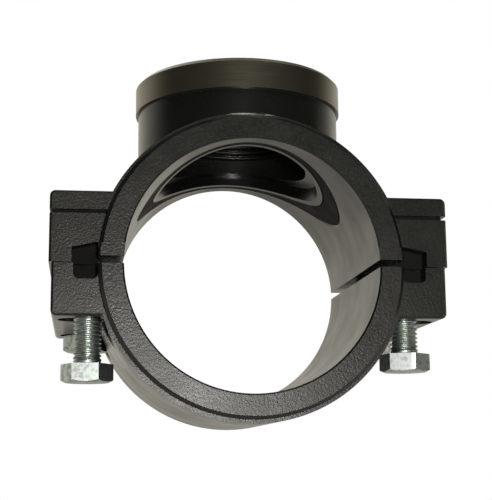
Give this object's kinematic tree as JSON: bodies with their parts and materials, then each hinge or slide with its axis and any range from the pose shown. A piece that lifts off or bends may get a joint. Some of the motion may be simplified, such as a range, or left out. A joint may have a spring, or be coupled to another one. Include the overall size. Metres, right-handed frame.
{
  "type": "tapping saddle",
  "caption": "Bolted clamp saddle that grips a plastic pipe and gives it a threaded branch outlet with a steel reinforcing ring.",
  "frame": {"origin": "where the axis of the pipe bore meets the axis of the threaded outlet", "axes": "+Y along the pipe bore, +Z along the outlet and out of it, +X across the bolted ears"},
  "size_m": [0.1422, 0.084, 0.1318],
  "materials": {
    "black_plastic": "satin moulded polypropylene, finely grained on its end faces",
    "stainless_steel": "dark brushed stainless steel",
    "zinc_steel": "bright zinc plate with a faint blue-green tint",
    "black_rubber": "matt"
  },
  "bodies": {
    "saddle": {"saddle_body": "black_plastic", "reinforcing_ring": "stainless_steel", "port_gasket": "black_rubber", "nut_front_left": "zinc_steel", "nut_front_right": "zinc_steel", "nut_rear_left": "zinc_steel", "nut_rear_right": "zinc_steel"},
    "strap": {"strap": "black_plastic"},
    "bolt_front_left": {"bolt_front_left": "zinc_steel"},
    "bolt_front_right": {"bolt_front_right": "zinc_steel"},
    "bolt_rear_left": {"bolt_rear_left": "zinc_steel"},
    "bolt_rear_right": {"bolt_rear_right": "zinc_steel"}
  },
  "joints": [
    {"name": "strap_slide", "type": "slide", "parent": "saddle", "child": "strap", "axis": [0, 0, -1], "range_m": [0, 0.016]},
    {"name": "bolt_front_left_travel", "type": "slide", "parent": "strap", "child": "bolt_front_left", "axis": [0, 0, -1], "range_m": [-0.0154, 0.004]},
    {"name": "bolt_front_right_travel", "type": "slide", "parent": "strap", "child": "bolt_front_right", "axis": [0, 0, -1], "range_m": [-0.0115, 0.008]},
    {"name": "bolt_rear_left_travel", "type": "slide", "parent": "strap", "child": "bolt_rear_left", "axis": [0, 0, -1], "range_m": [0, 0.016]},
    {"name": "bolt_rear_right_travel", "type": "slide", "parent": "strap", "child": "bolt_rear_right", "axis": [0, 0, -1], "range_m": [0, 0.016]}
  ]
}
